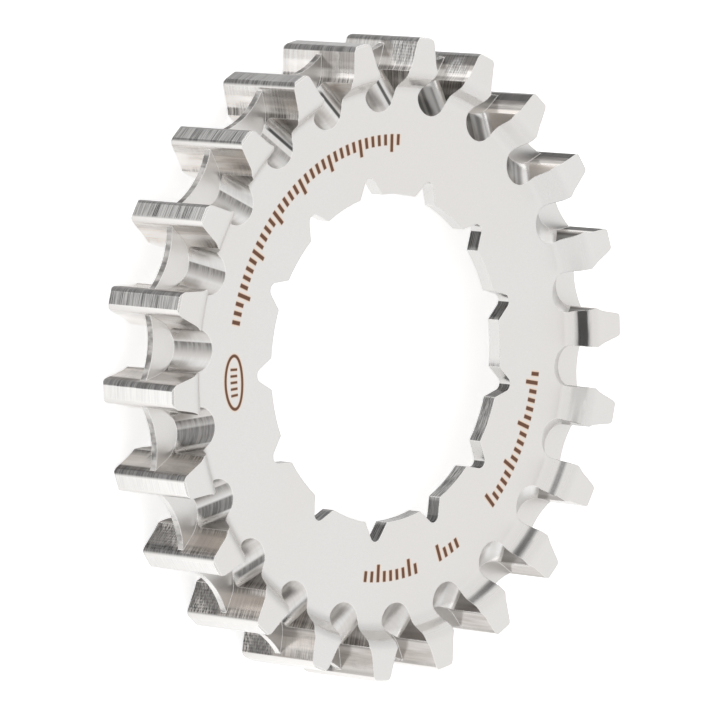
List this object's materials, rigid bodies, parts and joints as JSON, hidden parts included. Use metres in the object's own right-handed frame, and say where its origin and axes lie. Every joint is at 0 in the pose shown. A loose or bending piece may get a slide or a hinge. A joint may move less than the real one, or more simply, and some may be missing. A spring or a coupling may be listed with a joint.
{
  "type": "belt drive sprocket",
  "caption": "Toothed rear sprocket for a bicycle belt drive, with a centre guide fin, slanted mud ports and a splined bore.",
  "frame": {"origin": "on the axis of rotation, level with the back ends of the teeth", "axes": "+Z along the axis of rotation, out of the front face; a tooth stands on +Y and a tooth gap on +X"},
  "size_m": [0.0754, 0.0758, 0.0117],
  "materials": {
    "steel": "satin"
  },
  "bodies": {
    "root": {"belt_sprocket": "steel"}
  },
  "joints": []
}
